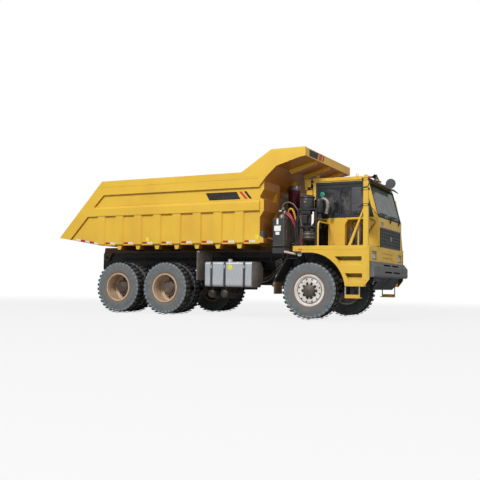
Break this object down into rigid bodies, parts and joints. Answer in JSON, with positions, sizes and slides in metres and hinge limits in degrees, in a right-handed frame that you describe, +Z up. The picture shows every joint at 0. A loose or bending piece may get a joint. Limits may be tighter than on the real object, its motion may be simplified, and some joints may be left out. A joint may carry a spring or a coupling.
{
  "type": "dump truck",
  "caption": "Off-road dump truck with an offset cab, a canopied rear-tipping bed on a front hoist, steered front wheels and twin-tyred rear axles.",
  "frame": {"origin": "on the ground, under the centre of the bounding box", "axes": "+X forward, +Y to the truck's left, +Z up"},
  "size_m": [9.05, 3.3, 4.075],
  "materials": {
    "yellow_paint": "semi-gloss machine enamel, dusty",
    "black_paint": "satin chassis black",
    "grey_paint": "semi-gloss dark grey",
    "red_paint": "gloss red",
    "rim_paint": "off-white enamel, dusty",
    "aluminium": "brushed sheet",
    "steel": "bright ground steel",
    "iron": "cast, dusty",
    "tyre": "dusty off-road tread",
    "black_plastic": "moulded, fine grain",
    "lamp": "clear lens",
    "glass": "tinted safety glass",
    "fabric": "woven seat cloth"
  },
  "bodies": {
    "chassis": {"frame": "black_paint", "cross_members": "black_paint", "outriggers": "black_paint", "front_axle": "iron", "front_springs": "black_paint", "rear_axles": "iron", "bogie_springs": "black_paint", "drive_shafts": "black_paint", "engine": "iron", "fuel_tank": "aluminium", "tank_brackets": "black_paint", "battery_box": "black_paint", "silencer": "steel", "hydraulic_tank": "grey_paint", "air_cleaner": "black_plastic", "front_bumper": "grey_paint", "nose_panel": "yellow_paint", "headlamps": "lamp", "right_deck": "yellow_paint", "left_deck": "yellow_paint", "mudguards": "black_plastic", "handrails": "yellow_paint", "cab_floor": "yellow_paint", "cab_right_side": "yellow_paint", "cab_left_side": "yellow_paint", "cab_rear_wall": "yellow_paint", "cab_front_wall": "yellow_paint", "cab_roof": "yellow_paint", "cab_glass": "glass", "grille": "black_plastic", "seats": "fabric", "dashboard": "black_plastic", "sun_visor": "black_plastic", "mirrors": "black_plastic"},
    "bed": {"bed_floor": "yellow_paint", "bed_left_side": "yellow_paint", "bed_right_side": "yellow_paint", "bed_front_wall": "yellow_paint", "bed_canopy": "yellow_paint", "bed_subframe": "yellow_paint"},
    "door_left": {"door_left": "yellow_paint", "door_glass": "glass"},
    "hoist_barrel": {"hoist_barrel": "red_paint"},
    "hoist_stage_1": {"hoist_stage_1": "steel"},
    "hoist_stage_2": {"hoist_stage_2": "steel"},
    "hoist_rod": {"hoist_rod": "steel"},
    "knuckle_left": {"knuckle_left": "iron"},
    "knuckle_right": {"knuckle_right": "iron"},
    "wheel_front_left": {"tyre_front_left": "tyre", "rim_front_left": "rim_paint"},
    "wheel_front_right": {"tyre_front_right": "tyre", "rim_front_right": "rim_paint"},
    "wheel_rear_1_left": {"tyre_rear_1_left": "tyre", "rim_rear_1_left": "rim_paint"},
    "wheel_rear_1_right": {"tyre_rear_1_right": "tyre", "rim_rear_1_right": "rim_paint"},
    "wheel_rear_2_left": {"tyre_rear_2_left": "tyre", "rim_rear_2_left": "rim_paint"},
    "wheel_rear_2_right": {"tyre_rear_2_right": "tyre", "rim_rear_2_right": "rim_paint"}
  },
  "joints": [
    {"name": "bed_tip", "type": "hinge", "parent": "chassis", "child": "bed", "pos_m": [-3.73, 0, 1.52], "axis": [0, -1, 0], "range_deg": [0, 45]},
    {"name": "hoist_lean", "type": "hinge", "parent": "chassis", "child": "hoist_barrel", "pos_m": [1.93, 0, 1.5], "axis": [0, -1, 0], "range_deg": [0, 29.18]},
    {"name": "hoist_slide_1", "type": "slide", "parent": "hoist_barrel", "child": "hoist_stage_1", "axis": [0, 0, 1], "range_m": [0, 1.412]},
    {"name": "hoist_slide_2", "type": "slide", "parent": "hoist_stage_1", "child": "hoist_stage_2", "axis": [0, 0, 1], "range_m": [0, 1.412]},
    {"name": "hoist_slide_3", "type": "slide", "parent": "hoist_stage_2", "child": "hoist_rod", "axis": [0, 0, 1], "range_m": [0, 1.412]},
    {"name": "steer_left", "type": "hinge", "parent": "chassis", "child": "knuckle_left", "pos_m": [2.97, 1.12, 0.685], "axis": [0, 0, 1], "range_deg": [-35, 35]},
    {"name": "roll_front_left", "type": "hinge", "parent": "knuckle_left", "child": "wheel_front_left", "pos_m": [2.97, 1.34, 0.685], "axis": [0, 1, 0], "continuous": true},
    {"name": "steer_right", "type": "hinge", "parent": "chassis", "child": "knuckle_right", "pos_m": [2.97, -1.12, 0.685], "axis": [0, 0, 1], "range_deg": [-35, 35]},
    {"name": "roll_front_right", "type": "hinge", "parent": "knuckle_right", "child": "wheel_front_right", "pos_m": [2.97, -1.34, 0.685], "axis": [0, 1, 0], "continuous": true},
    {"name": "roll_rear_1_left", "type": "hinge", "parent": "chassis", "child": "wheel_rear_1_left", "pos_m": [-0.97, 1.2425, 0.685], "axis": [0, 1, 0], "continuous": true},
    {"name": "roll_rear_1_right", "type": "hinge", "parent": "chassis", "child": "wheel_rear_1_right", "pos_m": [-0.97, -1.2425, 0.685], "axis": [0, 1, 0], "continuous": true},
    {"name": "roll_rear_2_left", "type": "hinge", "parent": "chassis", "child": "wheel_rear_2_left", "pos_m": [-2.45, 1.2425, 0.685], "axis": [0, 1, 0], "continuous": true},
    {"name": "roll_rear_2_right", "type": "hinge", "parent": "chassis", "child": "wheel_rear_2_right", "pos_m": [-2.45, -1.2425, 0.685], "axis": [0, 1, 0], "continuous": true},
    {"name": "door_left_swing", "type": "hinge", "parent": "chassis", "child": "door_left", "pos_m": [4.07, 1.378, 2.57], "axis": [0, 0, -1], "range_deg": [0, 70]}
  ],
  "couplings": [
    {"joint": "hoist_lean", "follows": "bed_tip", "ratio": 0.64735},
    {"joint": "hoist_slide_1", "follows": "bed_tip", "m_per_rad": 1.795},
    {"joint": "hoist_slide_2", "follows": "bed_tip", "m_per_rad": 1.795},
    {"joint": "hoist_slide_3", "follows": "bed_tip", "m_per_rad": 1.795},
    {"joint": "steer_right", "follows": "steer_left", "ratio": 1}
  ]
}
